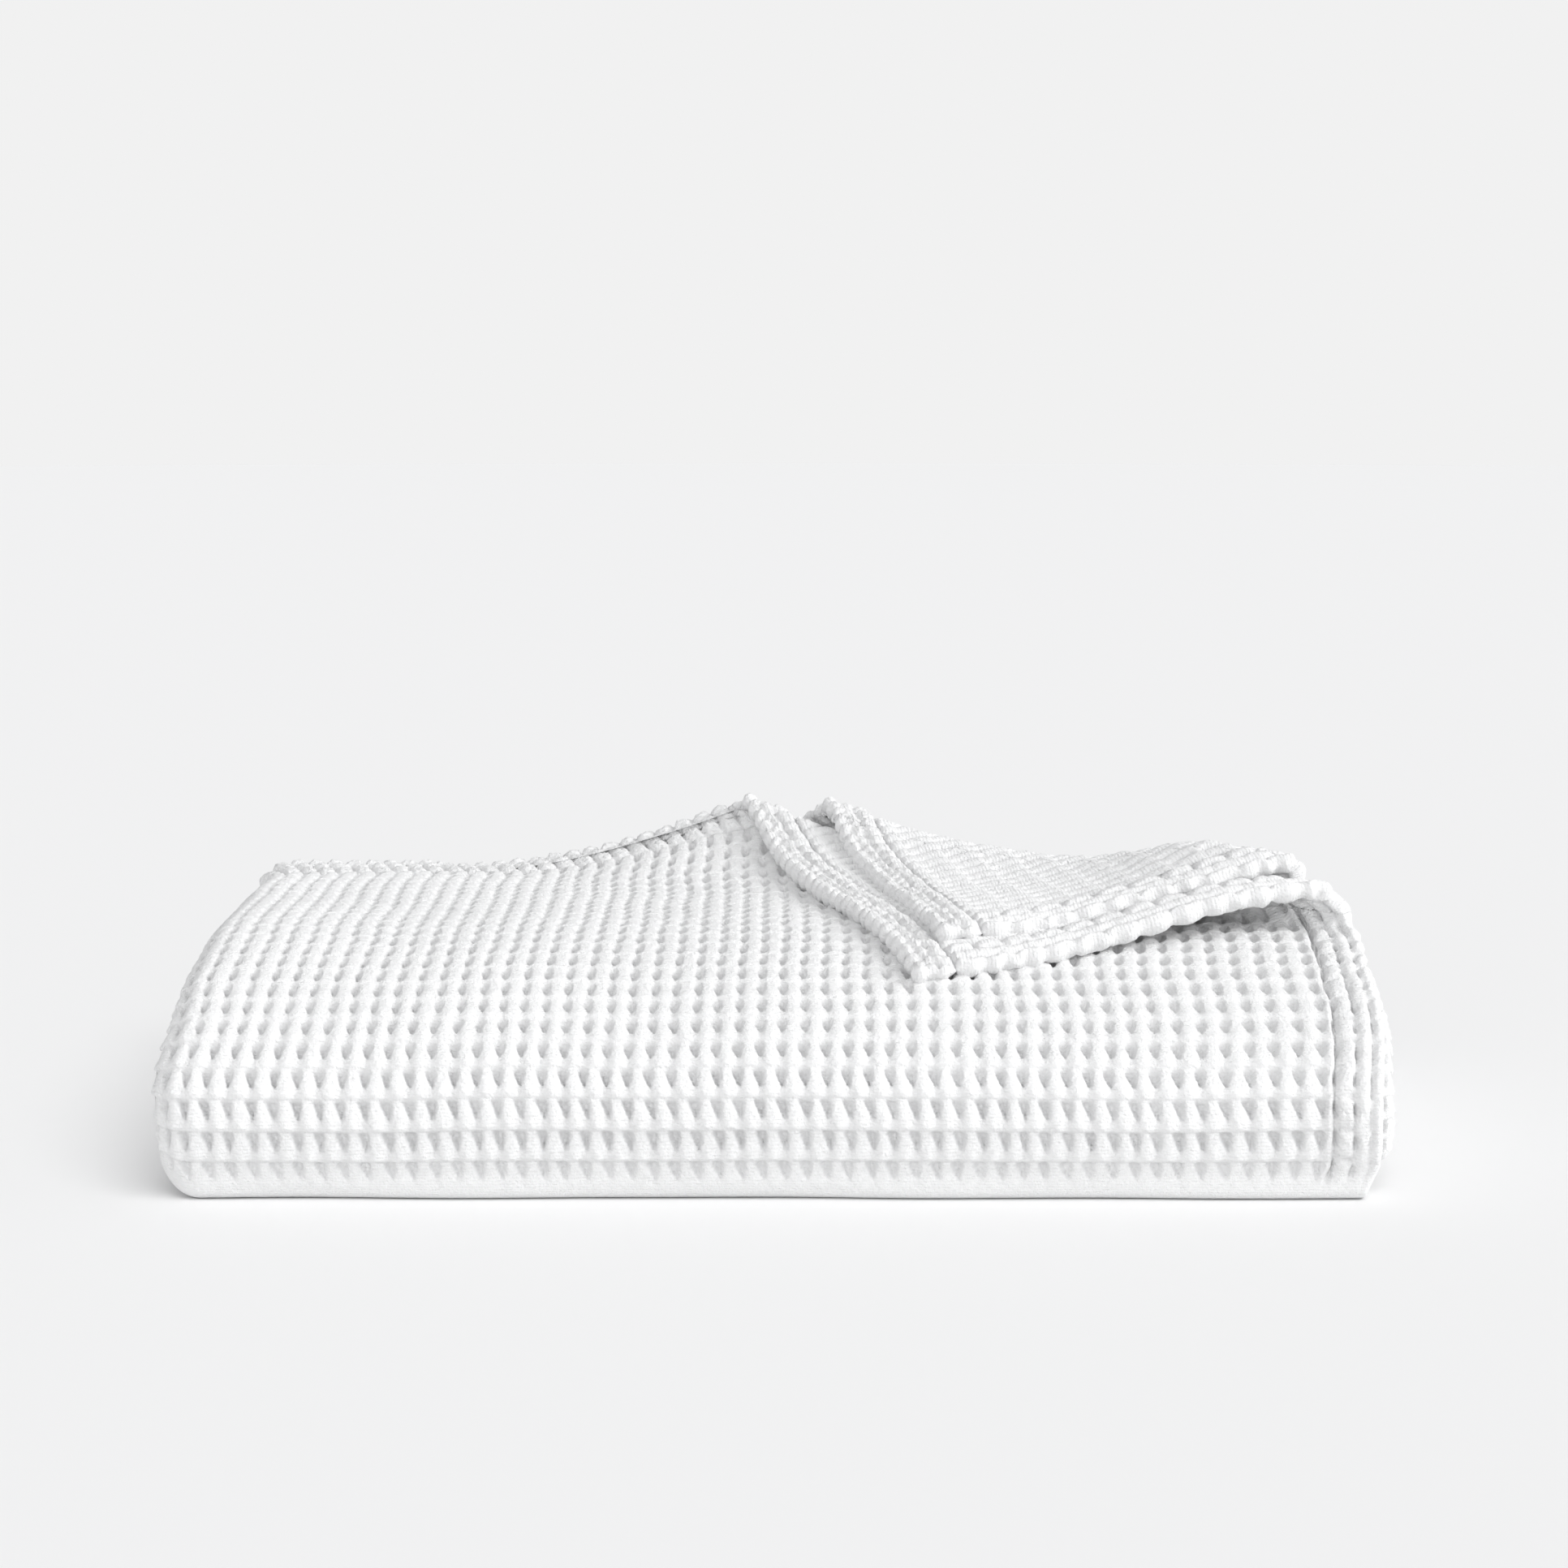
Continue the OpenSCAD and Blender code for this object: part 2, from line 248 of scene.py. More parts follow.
def arc_table(rx, ry, a0, a1):
    a = np.linspace(a0, a1, 721)
    x, y = rx * np.cos(a), ry * np.sin(a)
    length = np.concatenate([[0], np.cumsum(np.hypot(np.diff(x), np.diff(y)))])
    return a, length


TOE_A, TOE_S = arc_table(TOE_L, BELLY_H, 1.5 * math.pi, math.pi)
RISE_A, RISE_S = arc_table(SHOULDER_L, STACK_H - BELLY_H, math.pi, 0.5 * math.pi)
S_BELLY = TOE_S[-1]
S_TOP = S_BELLY + RISE_S[-1]
S_END = S_TOP + DEPTH - SHOULDER_L
S_BACK = -(BACK_D - TOE_L)
S_MID = S_BACK - math.pi * THIRD


def path(s, inset):
    """Distance from the front and height of the strip at length s, inset from its outside.
    The strip runs from the middle third round the back, under the stack, up the front and over the top."""
    s, inset = np.broadcast_arrays(np.asarray(s, float), np.asarray(inset, float))
    k = inset / THIRD
    toe = np.interp(s, TOE_S, TOE_A)
    rise = np.interp(s - S_BELLY, RISE_S, RISE_A)
    turn = np.clip((S_BACK - s) / THIRD, 0, math.pi)
    mid_d = BACK_D - (S_MID - s)
    over = np.clip((SHOULDER_L - mid_d) / (SHOULDER_L - THIRD), 0, 1)
    mid_z = np.minimum(2 * THIRD, BELLY_H + (STACK_H - BELLY_H - THIRD) * np.sqrt(1 - over * over))
    mid_z = mid_z - 0.4 * MM
    d = np.select(
        [s < S_MID, s < S_BACK, s < 0, s < S_BELLY, s < S_TOP],
        [mid_d,
         BACK_D + (THIRD - inset) * np.sin(turn),
         TOE_L + TOE_SHIFT * k * smooth(s, -60 * MM, 0) - s,
         TOE_L + TOE_SHIFT * k + (TOE_L - TOE_SHRINK * k) * np.cos(toe),
         SHOULDER_L + (SHOULDER_L - inset) * np.cos(rise)],
        SHOULDER_L + (s - S_TOP))
    z = np.select(
        [s < S_MID, s < S_BACK, s < 0, s < S_BELLY, s < S_TOP],
        [mid_z - inset,
         THIRD - (THIRD - inset) * np.cos(turn),
         inset,
         BELLY_H + (BELLY_H - inset) * np.sin(toe),
         BELLY_H + (STACK_H - BELLY_H - inset) * np.sin(rise)],
        STACK_H - inset)
    return d, z


def s_at(d):
    """Length along the top of the strip where it is d from the front."""
    s = np.linspace(S_BELLY, S_END + 0.05, 4001)
    return np.interp(d, path(s, 0)[0], s)


def sweep(x, inset, s):
    """Points of a section (x, inset) carried along the strip."""
    ss, xx = np.meshgrid(s, x, indexing="ij")
    ii = np.broadcast_to(inset, ss.shape)
    d, z = path(ss, ii)
    return np.stack([xx, d - HALF_D, z], 2)


def section(parts, step):
    """Joins straight and round parts of a section into evenly spaced (x, inset, length)."""
    pts = []
    for part in parts:
        if part[0] == "line":
            _, x0, i0, x1, i1 = part
            n = max(int(math.hypot(x1 - x0, i1 - i0) / step * 4), 2)
            t = np.linspace(0, 1, n)
            pts.append(np.stack([x0 + (x1 - x0) * t, i0 + (i1 - i0) * t], 1))
        else:
            _, cx, ci, r, a0, a1 = part
            n = max(int(abs(a1 - a0) * r / step * 4), 8)
            a = np.linspace(a0, a1, n)
            pts.append(np.stack([cx + r * np.cos(a), ci + r * np.sin(a)], 1))
    p = np.concatenate(pts)
    keep = np.concatenate([[True], np.hypot(*np.diff(p, axis=0).T) > 1e-9])
    p = p[keep]
    length = np.concatenate([[0], np.cumsum(np.hypot(*np.diff(p, axis=0).T))])
    t = np.linspace(0, length[-1], int(length[-1] / step) + 1)
    return np.interp(t, length, p[:, 0]), np.interp(t, length, p[:, 1]), t


# ---------------------------------------------------------------- the weave

def waffle(u, v, flat, seed=1):
    """Height of the waffle weave, 0 on the ribs and -1 in the pits. u and v count its cells.
    flat is 0 where the weave hangs on the front, and 1 where it lies on top."""
    u = u + 0.08 * noise(u * 0.31, v * 0.35, seed + 40) + 0.045 * noise(u * 1.1, v * 1.3, seed + 41)
    i, j = np.floor(u), np.floor(v)
    a, b = u - i, v - j
    r1, r2, r3 = (cell_random(i, j, seed + k) for k in (1, 2, 3))
    lean = 0.5 + 0.20 * (0.9 - b) * (1 - 0.3 * flat) + 0.03 * r2
    width_front = 0.01 + 0.235 * smooth(b, 0.32, 0.85)
    width_top = 0.09 + 0.07 * smooth(b, 0.05, 0.5)
    width = width_front * (1 - flat) + width_top * flat + 0.02 * r3
    across = smooth(1 - np.abs(a - lean) / (width + 0.07), 0, 0.6)
    deep_front = smooth(b, 0.26, 0.52) * (1 - smooth(b, 0.84, 0.97))
    deep_top = smooth(b, 0.02, 0.45) * (1 - smooth(b, 0.66, 0.97))
    deep = deep_front * (1 - flat) + deep_top * flat
    pit = (1.03 - 0.13 * flat) * across * deep * (1 + 0.14 * r1)
    # ribs: a cord up each column, highest where its lower end stands over the next pit
    off = np.abs(a - np.round(a) - 0.05 * (0.5 - b) * (1 - flat))
    cord = np.sqrt(np.clip(1 - (off / 0.52) ** (2 + flat), 0, 1))
    lip = (1 - b) ** 1.2 * smooth(b, 0, 0.06) * (0.42 - 0.24 * flat) * np.exp(-(off / 0.34) ** 2)
    lip = lip + (1 - b) * smooth(b, 0, 0.06) * 0.12 * (1 - flat)
    twist = 0.035 * np.sin(2 * math.pi * (3 * v + 0.7 * noise(u, v * 0.7, seed + 9))) * cord * flat
    bar = 1 - smooth(b, 0.12, 0.5)
    valley = (0.15 - 0.11 * bar * (1 - flat) + 0.09 * flat) * (1 - cord)
    return -pit - valley + lip + twist - 0.12 * (1 - flat)


def puffs(t, x, centre, half, low, power=2.3):
    """A row of puffy lumps, one for each whole step of t, across x."""
    t = t - np.floor(t)
    lump = low + (1 - low) * np.sqrt(np.clip(1 - np.abs(2 * t - 1) ** power, 0, 1))
    return np.sqrt(np.clip(1 - np.abs((x - centre) / half) ** 2.2, 0, 1)) * lump


def side_hem_relief(x, v, seed=11):
    """Height across the side hem, x from its stitch line out, v counting rows."""
    x = x / MM + 0.5 * noise(v * 0.9, x / MM * 0.1, seed)
    groove = -0.5 * np.exp(-(x / 0.9) ** 2) * (1 + 0.6 * noise(v * 2.3, x * 0.2, seed + 3))
    t = v + 0.10 * noise(v * 0.8, x * 0.3, seed + 4)
    knob = 1.15 * puffs(t, x, 3.7, 3.3, 0.0, 2.6)
    rib = puffs(t + 0.45, x, 9.8, 2.8, 0.72)
    brim = puffs(t + 0.08, x, 15.4, 2.9, 0.20, 2.6)
    f = t - np.floor(t)
    hole = -1.2 * np.exp(-((x - 7.0) / 0.75) ** 2) * smooth(f, 0.25, 0.45) * (1 - smooth(f, 0.60, 0.85))
    pale = -0.25 * np.exp(-((x - 12.7) / 0.9) ** 2) * smooth(f, 0.3, 0.5) * (1 - smooth(f, 0.8, 0.97))
    stitch = -1.1 * np.exp(-((x - 0.1) / 0.8) ** 2) * smooth(f, 0.35, 0.5) * (1 - smooth(f, 0.75, 0.95))
    ply = 0.10 * noise(v * 6.5, x * 0.9, seed + 5) + 0.07 * np.sin(2 * math.pi * (5 * t + 0.5 * x)) * (x < 7)
    body = 0.85 * np.maximum(np.maximum(knob, rib), brim) - 0.55
    return (body + groove + hole + pale + stitch + ply) * smooth(x, -1.5, 0.5)


def end_hem_relief(y, u, seed=21):
    """Height across the end hem, y from its stitch line out, u counting columns."""
    y = y / MM + 0.45 * noise(u * 0.9, y / MM * 0.1, seed)
    groove = -0.6 * np.exp(-(y / 0.8) ** 2)
    t = u + 0.10 * noise(u * 0.7, y * 0.25, seed + 4)
    bars = puffs(t + 0.05 * (y - 6), y, 6.2, 6.6, 0.0, 2.5)
    beads = puffs(t + 0.5, y, 13.6, 3.7, 0.0, 2.5)
    f = t - np.floor(t)
    dent = -0.35 * np.exp(-((y - 7.0) / 0.9) ** 2) * (1 + noise(u * 2, y * 0.2, seed + 6))
    ply = 0.13 * noise(u * 4.2, y * 0.9, seed + 5)
    ply = ply + 0.10 * np.sin(2 * math.pi * (3 * t + 0.35 * y)) * (f > 0.15)
    return (np.maximum(bars, beads) - 0.72 + groove + dent + ply) * smooth(y, -1.2, 0.5)


def fuzz(u, v, seed=31):
    return (0.10 * noise(u * 2.1, v * 2.9, seed) + 0.07 * noise(u * 5.3, v * 7.1, seed + 1)
            + 0.04 * noise(u * 11.0, v * 15.0, seed + 2))


def relief(x, s, flat, seed=1, hem_side=True, hem_end=True):
    """Height in metres of the cloth's face at x across and s along the cloth."""
    u = (x - COL_AT) / COL + 0.5
    v = (s - ROW_AT) / ROW + 0.62
    h = PIT * waffle(u, v, flat, seed)
    rough = 0
    if hem_side:
        w = smooth(x, HEM_LINE - 1.6 * MM, HEM_LINE - 0.2 * MM)
        h = h * (1 - w) + 2.6 * MM * side_hem_relief(x - HEM_LINE, v) * w
        rough = w
    if hem_end:
        line = S_END - HEM_W
        w = smooth(s, line - 1.6 * MM, line - 0.2 * MM)
        h = h * (1 - w) + 3.4 * MM * end_hem_relief(s - line, u) * w
        rough = np.maximum(rough, w)
    return h + (1.2 + 1.6 * rough) * MM * fuzz(u, v, seed + 30)


# ---------------------------------------------------------------- the turned-back corner

# The ridges of the lower (B) and the upper (A) turned ply: where each meets the side hem, as a
# distance from the front, and the back edge, as a place across
SIDE_B_D, BACK_B_X = 93 * MM, -17 * MM
SIDE_A_D, BACK_A_X = 104 * MM, 11 * MM
# The tables of a turned ply reach from HILL_W before its ridge to REACH beyond it
HILL_W = 75 * MM
REACH = 150 * MM
KEEP_N = 24 * MM
LOWER_N, ARC_N, UPPER_N = 160, 79, 320
OVER_B = 2.2 * MM  # the gap that the reliefs of the two turned plies need between them


class Ridge:
    """Coordinates of a ridge line: lam runs from the side hem (0) to the back edge (1), and n away
    from the line towards the side where the turned corner lies."""

    def __init__(self, side, back):
        self.side, self.len = side, np.linalg.norm(back - side)
        self.u = (back - side) / self.len
        self.n = np.array([-self.u[1], self.u[0]])

    def split(self, x, y):
        px, py = x - self.side[0], y - self.side[1]
        return (px * self.u[0] + py * self.u[1]) / self.len, px * self.n[0] + py * self.n[1]

    def place(self, lam, n):
        a = lam * self.len
        return (self.side[0] + self.u[0] * a + self.n[0] * n,
                self.side[1] + self.u[1] * a + self.n[1] * n)


RIDGE_B = Ridge(np.array([HEM_EDGE, SIDE_B_D - HALF_D]), np.array([BACK_B_X, HALF_D]))
RIDGE_A = Ridge(np.array([HEM_EDGE, SIDE_A_D - HALF_D]), np.array([BACK_A_X, HALF_D]))


def table(lam, values):
    at, height = zip(*values)
    return np.interp(lam, at, height) * MM


def hill(lam, n):
    """How far the cover ply lifts off the stack beside its ridge."""
    high = table(lam, [(0, 0), (0.2, 0.5), (0.5, 2.5), (0.7, 8), (0.85, 16), (1, 26), (1.2, 27)])
    return high * np.clip(1 - np.maximum(n, 0) / HILL_W, 0, 1) ** 1.9


def loop_b(lam):
    """Radius of the lower ply's turn."""
    return table(lam, [(0, 9.4), (0.12, 8.6), (0.3, 4.6), (0.5, 3.1), (0.75, 3.0), (1, 3.6)])


def flap_b(lam, n):
    """Height of the turned lower ply over the flat top, middle to middle."""
    r = loop_b(lam)
    rest = PLY + 0.3 * MM
    fade = np.exp(-(np.maximum(n - r, 0) / (62 * MM)) ** 2.6)
    return hill(lam, n) + rest + (2 * r - rest) * fade


def ridge_a_height(lam):
    """Height of the upper ply's crest over the flat top."""
    return table(lam, [(0, 29), (0.14, 32), (0.21, 33), (0.26, 30.5), (0.33, 26), (0.41, 22), (0.5, 20.5),
                       (0.63, 22), (0.77, 25.5), (0.9, 31.5), (1, 36)])


def over_flap_b(lam, n):
    """Height of a ply that lies on the lower flap, at a place given by the upper ridge."""
    lam_b, n_b = RIDGE_B.split(*RIDGE_A.place(lam, n))
    return flap_b(np.clip(lam_b, -0.1, 1.1), np.maximum(n_b, 0)) + PLY + OVER_B


def flap_a(lam, n):
    """Height of the turned upper ply, which follows the lower one away from its own ridge."""
    on_b, at_ridge = over_flap_b(lam, n), over_flap_b(lam, 0 * n)
    lam_t, n_t = RIDGE_A.split(HEM_EDGE, HALF_D)
    away = ((lam - lam_t) * RIDGE_A.len) ** 2 + (n + n_t) ** 2
    tip = 2.4 * MM * np.exp(-away / (26 * MM) ** 2)
    return on_b + tip + (ridge_a_height(lam) - at_ridge) * np.exp(-(n / (24 * MM)) ** 2)


def under_a(lam, n):
    """Height of the upper ply before its ridge, just under the lower one's hill."""
    lam_b, n_b = RIDGE_B.split(*RIDGE_A.place(lam, n))
    return hill(lam_b, n_b) - PLY - 0.1 * MM


def fold_profile(lam, low, up, r):
    """(n, height) of the ply at one place along its ridge, for evenly spaced flat lengths from
    HILL_W before the ridge to REACH beyond it."""
    a = np.linspace(HILL_W, r, LOWER_N)
    lower = np.stack([a, low(lam, a)], 1)
    b = np.linspace(r, REACH, UPPER_N)
    upper = np.stack([b, up(lam, b)], 1)
    z0, z1 = lower[-1, 1], upper[0, 1]
    t = np.linspace(-math.pi / 2, math.pi / 2, ARC_N + 2)[1:-1]
    arc = np.stack([r * (1 - np.cos(t)), (z0 + z1) / 2 + (z1 - z0) / 2 * np.sin(t)], 1)
    p = np.concatenate([lower, arc, upper])
    length = np.concatenate([[0], np.cumsum(np.hypot(*np.diff(p, axis=0).T))])
    # beyond KEEP_N from the ridge the cloth keeps its place; nearer, its slack is shared out
    crest = LOWER_N + ARC_N // 2
    at_kept = np.interp(-KEEP_N, -lower[:, 0], length[:LOWER_N])
    flat = np.where(
        FLAT_Q > KEEP_N, np.interp(-FLAT_Q, -lower[:, 0], length[:LOWER_N]),
        np.interp(FLAT_Q, [-REACH, 0, KEEP_N], [length[-1], length[crest], at_kept]))
    return np.interp(flat, length, p[:, 0]), np.interp(flat, length, p[:, 1])


FLAT_Q = np.linspace(HILL_W, -REACH, 901)
LAMS = np.linspace(-0.3, 1.4, 171)


def fold_tables(low, up, radius):
    """Tables of n and height, by place along the ridge (LAMS) and flat distance from it (FLAT_Q)."""
    rows = [fold_profile(float(t), low, up, float(radius(float(t)))) for t in LAMS]
    return np.array([r[0] for r in rows]), np.array([r[1] for r in rows])


def look_up(tab, lam, q):
    a = np.clip((lam - LAMS[0]) / (LAMS[1] - LAMS[0]), 0, len(LAMS) - 1.001)
    b = np.clip((HILL_W - q) / (HILL_W + REACH) * (len(FLAT_Q) - 1), 0, len(FLAT_Q) - 1.001)
    i, j = a.astype(int), b.astype(int)
    fa, fb = a - i, b - j
    return ((tab[i, j] * (1 - fa) + tab[i + 1, j] * fa) * (1 - fb)
            + (tab[i, j + 1] * (1 - fa) + tab[i + 1, j + 1] * fa) * fb)


TABLE_B = fold_tables(hill, flap_b, loop_b)
TABLE_A = fold_tables(under_a, flap_a, lambda lam: max(loop_b(lam) * 0.8, 4.5 * MM))


def turned(x, s, ridge, tables, inset, pull):
    """Where the turned ply's middle lies, for flat places x across and s along the cloth."""
    d_flat = np.where(s < S_TOP, path(np.minimum(s, S_TOP), 0)[0], SHOULDER_L + s - S_TOP)
    y_flat = d_flat - HALF_D
    lam, q = ridge.split(x, y_flat)
    n, off = look_up(tables[0], lam, q), look_up(tables[1], lam, q)
    far = q > HILL_W
    px, py = ridge.place(lam, n)
    px, py = np.where(far, x, px), np.where(far, y_flat, py)
    near_side = np.exp(-(lam * ridge.len / (45 * MM)) ** 2) * np.exp(-(q / (18 * MM)) ** 2)
    px = px - pull * near_side
    d = np.clip(py + HALF_D, 0, None)
    t = np.clip((SHOULDER_L - d) / SHOULDER_L, 0, 1)
    base = np.where(d < SHOULDER_L, BELLY_H + (STACK_H - BELLY_H) * np.sqrt(1 - t * t), STACK_H)
    z = base - inset + np.where(far, 0, off)
    return np.stack([px, py, z], 2), lam, q


# ---------------------------------------------------------------- materials

def material(name):
    m = bpy.data.materials.new(name)
    m.use_nodes = True
    return m, m.node_tree


def with_inputs(node, **values):
    """Sets a node's inputs; an underscore stands for the space in an input's name."""
    for name, value in values.items():
        node.inputs[name.replace("_", " ")].default_value = value
    return node


def cotton(name, tint, ribs):
    """Matte cotton: a faint unevenness of tint, fine yarns along the weave, and loose fibres."""
    m, t = material(name)
    cloth = with_inputs(t.nodes["Principled BSDF"], Roughness=0.92, Specular_IOR_Level=0.25,
                        Sheen_Weight=0.15, Sheen_Roughness=0.45)
    weave = t.nodes.new("ShaderNodeAttribute")
    weave.attribute_name = "weave"
    place = t.nodes.new("ShaderNodeTexCoord")
    uneven = with_inputs(t.nodes.new("ShaderNodeTexNoise"), Scale=9, Detail=3)
    ramp = t.nodes.new("ShaderNodeValToRGB")
    dark, pale = ramp.color_ramp.elements
    dark.position, dark.color = 0.3, (*[c * 0.972 for c in tint], 1)
    pale.position, pale.color = 0.7, (*tint, 1)
    yarn = with_inputs(t.nodes.new("ShaderNodeTexWave"), Scale=ribs, Distortion=2.5, Detail=2,
                       Detail_Scale=1.4)
    yarn.wave_type, yarn.bands_direction = "BANDS", "Y"
    fibre = with_inputs(t.nodes.new("ShaderNodeTexNoise"), Scale=850, Detail=4, Roughness=0.65)
    yarn_bump = with_inputs(t.nodes.new("ShaderNodeBump"), Strength=0.32, Distance=0.5 * MM)
    fibre_bump = with_inputs(t.nodes.new("ShaderNodeBump"), Strength=0.9, Distance=1.0 * MM)
    for source, out, node, into in (
            (place, "Object", uneven, "Vector"), (uneven, "Fac", ramp, "Fac"),
            (ramp, "Color", cloth, "Base Color"), (weave, "Vector", yarn, "Vector"),
            (place, "Object", fibre, "Vector"), (yarn, "Fac", yarn_bump, "Height"),
            (fibre, "Fac", fibre_bump, "Height"), (yarn_bump, "Normal", fibre_bump, "Normal"),
            (fibre_bump, "Normal", cloth, "Normal")):
        t.links.new(source.outputs[out], node.inputs[into])
    return m


CLOTH = cotton("waffle_cotton", (0.905, 0.906, 0.908), 0.24)
HEM = cotton("hem_cotton", (0.900, 0.901, 0.903), 0.24)
THREAD = cotton("sewing_thread", (0.86, 0.86, 0.855), 0.6)


# ---------------------------------------------------------------- pieces

# Grid steps where the cloth shows, and where it is mostly hidden
FINE_U, FINE_V = COL / 10, ROW / 14
LOW_U, LOW_V = COL / 6, ROW / 8
OVERLAP = 2 * MM
# HALF_T: half a third, the radius of the rounded left end; FOLD_R: the radius of the inner layers' fold at
# the right
HALF_T = THIRD / 2
FOLD_R = THIRD / 3
# Where the bottom third ends under the stack, and where the top third and its corner begin
S_SPLIT = -26 * MM
S_HINGE = s_at(44 * MM)
S_CORNER = s_at(60 * MM)
WAFFLE, HEMMED, SEWN = (CLOTH, "waffle_cloth"), (HEM, "hem_cloth"), (THREAD, "thread")


def dress(ob, look, *nodes):
    ob.data.materials.append(look[0])
    if nodes:
        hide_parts(*nodes)


def bend_with_front(ob):
    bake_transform(ob)


def flatness(s):
    """0 where the cloth hangs on the front, 1 where it lies on top."""
    return smooth(s, S_BELLY + 28 * MM, S_BELLY + 95 * MM)


def cells(point_mask):
    """Grid cells whose four corners are all in point_mask."""
    m = point_mask
    return m[:-1, :-1] & m[1:, :-1] & m[:-1, 1:] & m[1:, 1:]


def swept(parts, step_u, step_v, s0, s1, first_x=None, amount=1.0, seed=1, hems=True):
    """A grid of cloth face: points, flat x and s of each. first_x is the flat place of the
    section's first point, counted down from there; by default the flat x is the real x."""
    x, inset, c = section(parts, step_u)
    s = np.linspace(s0, s1, int(round((s1 - s0) / step_v)) + 1)
    p = sweep(x, inset, s)
    flat_x = x if first_x is None else first_x - c
    xx, ss = np.meshgrid(flat_x, s)
    h = relief(xx, ss, flatness(ss), seed, hems, hems) * (amount(ss) if callable(amount) else amount)
    p = p + grid_normals(p) * h[..., None]
    return p, xx, ss, inset


def hemmed_face():
    """Section of the outside ply, from its turned hem on the right to the rounded left end."""
    return [("line", HEM_BACK, 2 * EDGE_R, HEM_EDGE - EDGE_R, 2 * EDGE_R),
            ("arc", HEM_EDGE - EDGE_R, EDGE_R, EDGE_R, math.pi / 2, -math.pi / 2),
            ("line", HEM_EDGE - EDGE_R, 0, -HALF_W + HALF_T, 0)]


def outer_grid():
    """The outside ply's outer face: up the front and over the top, round both its long edges."""
    parts = hemmed_face() + [("arc", -HALF_W + HALF_T, HALF_T, HALF_T, -math.pi / 2, -math.pi)]
    x, inset, c = section(parts, FINE_U)
    s = np.arange(S_SPLIT, S_END + FINE_V * 0.5, FINE_V)
    s = np.concatenate([s[s < S_END - 0.4 * FINE_V], [S_END]])
    p = sweep(x, inset, s)
    start = int(np.argmax(inset < 1e-9))
    xx, ss = np.meshgrid(x[start] - (c - c[start]), s)
    h = relief(xx, ss, flatness(ss))
    under = (np.arange(len(x)) < start)[None, :]
    h = np.where(under, 0.2 * h, h)
    h = h * smooth(ss, 8 * MM, 24 * MM)
    h = h + 1.6 * MM * smooth(ss, S_END - 11 * MM, S_END - 4 * MM) * (inset[None, :] < HALF_T)
    rounded = 1 - np.sqrt(1 - np.clip(1 - (S_END - ss) / EDGE_R, 0, 1) ** 2)
    h = h - EDGE_R * rounded * (inset[None, :] < HALF_T)
    p = p + grid_normals(p) * h[..., None]
    p[..., 2] = np.maximum(p[..., 2], 0.2 * MM * noise(xx / COL * 0.9, ss / ROW * 2, 77) + 0.2 * MM)
    # the ridge's own pieces take over where the ply rises
    q = turned(xx, ss, RIDGE_B, TABLE_B, 0, 0)[2]
    corner = (q < HILL_W) & (ss > S_CORNER)
    corner |= under & (ss > s_at(SIDE_B_D))
    corner &= inset[None, :] < 2.1 * EDGE_R
    return p, xx, ss, ~corner


def outer_pieces():
    p, xx, ss, here = outer_grid()
    full = cells(here)
    hem = (xx > HEM_LINE)[:-1, :-1]
    end = (ss > S_END - HEM_W)[:-1, :-1] & ~hem
    cloth = skin("cover_cloth", p, xx / MM, ss / MM, full & ~hem & ~end)
    side = skin("side_hem", p, xx / MM, ss / MM, full & hem)
    back = skin("cover_end_hem", p, xx / MM, ss / MM, full & end)
    bend_with_front(cloth)
    bend_with_front(side)
    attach(back, "top_fold")
    dress(cloth, WAFFLE, "front_fold_outer", "top_cover_ply")
    dress(side, HEMMED, "front_side_hem", "top_side_hem")
    dress(back, HEMMED, "top_cover_end_hem")
    return p, xx, ss


def under_hem_edge():
    """The edge of the second ply under the side hem."""
    centre, c = HEM_EDGE - EDGE_R - 1.2 * MM, 3 * EDGE_R + 0.4 * MM
    parts = [("line", HEM_BACK, c + EDGE_R, centre, c + EDGE_R),
             ("arc", centre, c, EDGE_R, math.pi / 2, -math.pi / 2),
             ("line", centre, c - EDGE_R, HEM_EDGE - 8 * MM, c - EDGE_R)]
    last = s_at(SIDE_A_D)
    p, xx, ss, _ = swept(parts, FINE_U, FINE_V, S_SPLIT, last, HEM_EDGE + 8 * MM, 0.0)
    u, v = xx / COL, ss / ROW
    lump = 0.5 * MM * np.cos(2 * math.pi * (v + 0.15 * noise(v * 0.7, u, 5))) + 0.3 * MM * fuzz(u * 3, v)
    p = p + grid_normals(p) * lump[..., None]
    p[..., 2] = np.maximum(p[..., 2], 0.0)
    middle = sweep(np.full(p.shape[1], centre), c, ss[:, 0])
    rounded = np.sqrt(1 - np.clip(1 - (last - ss) / EDGE_R, 0, 1) ** 2)[..., None]
    p = middle + (p - middle) * rounded
    ob = skin("under_side_hem", p, xx / MM, ss / MM)
    bend_with_front(ob)
    dress(ob, HEMMED, "top_under_ply")


def right_fold(name, step_u, step_v, s0, s1):
    """One stretch of the folded edge of the two inner layers, which shows beside the side hem."""
    x, back = HALF_W - FOLD_R, HEM_EDGE - 16 * MM
    parts = [("line", back, THIRD, x, THIRD),
             ("arc", x, THIRD - FOLD_R, FOLD_R, math.pi / 2, -math.pi / 2),
             ("line", x, THIRD - 2 * FOLD_R, back, THIRD - 2 * FOLD_R)]
    p, xx, ss, _ = swept(parts, step_u, step_v, s0, s1, HALF_W + 40 * MM, 0.85, 3, False)
    p[..., 2] = np.maximum(p[..., 2], 0.0)
    return skin(name, p, xx / MM, ss / MM)


def right_folds():
    front = right_fold("front_right_fold", FINE_U, FINE_V, S_SPLIT, S_HINGE)
    bend_with_front(front)
    dress(front, WAFFLE, "front_fold_middle", "front_fold_inner")
    top = right_fold("top_right_fold", FINE_U, FINE_V, S_HINGE, S_END - EDGE_R)
    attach(top, "top_fold")
    dress(top, WAFFLE, "top_middle_panel")


